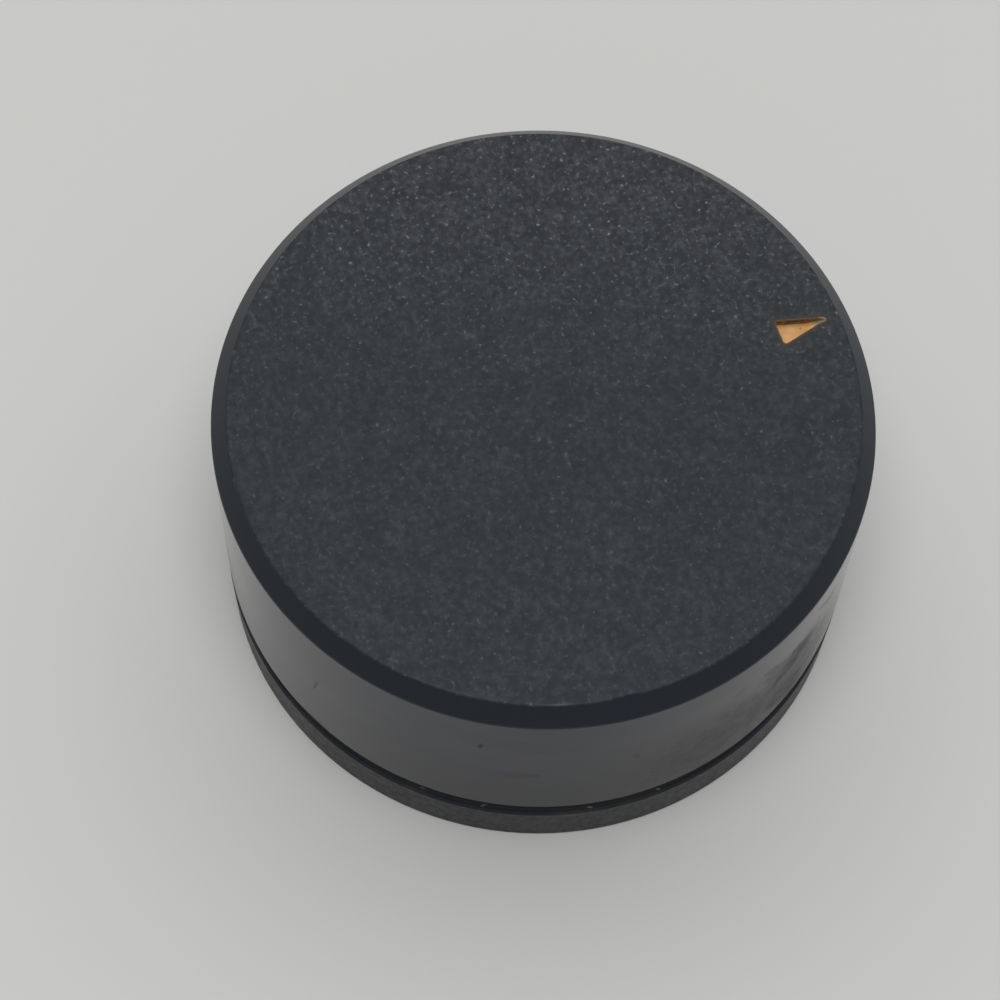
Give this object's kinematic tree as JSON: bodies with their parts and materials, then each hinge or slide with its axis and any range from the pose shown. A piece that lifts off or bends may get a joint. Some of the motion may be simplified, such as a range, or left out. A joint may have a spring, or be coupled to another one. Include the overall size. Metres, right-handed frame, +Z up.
{
  "type": "volume knob",
  "caption": "Round push-on control knob with a grained top, bevelled rim, recessed pointer and a shadow groove above its foot, for a flatted shaft.",
  "frame": {"origin": "middle of the base, on the shaft axis", "axes": "+Z up the shaft axis to the top face, +Y from the axis to the pointer"},
  "size_m": [0.04, 0.04, 0.0206],
  "materials": {
    "gloss_black": "polished wall and bevel, fine grained top face",
    "pointer_orange": "matte",
    "matte_black": "fine matte moulding",
    "spring_steel": "rolled strip"
  },
  "bodies": {
    "root": {"outer_cap": "gloss_black", "pointer_inlay": "pointer_orange", "hub_core": "matte_black", "shaft_spring": "spring_steel"}
  },
  "joints": []
}
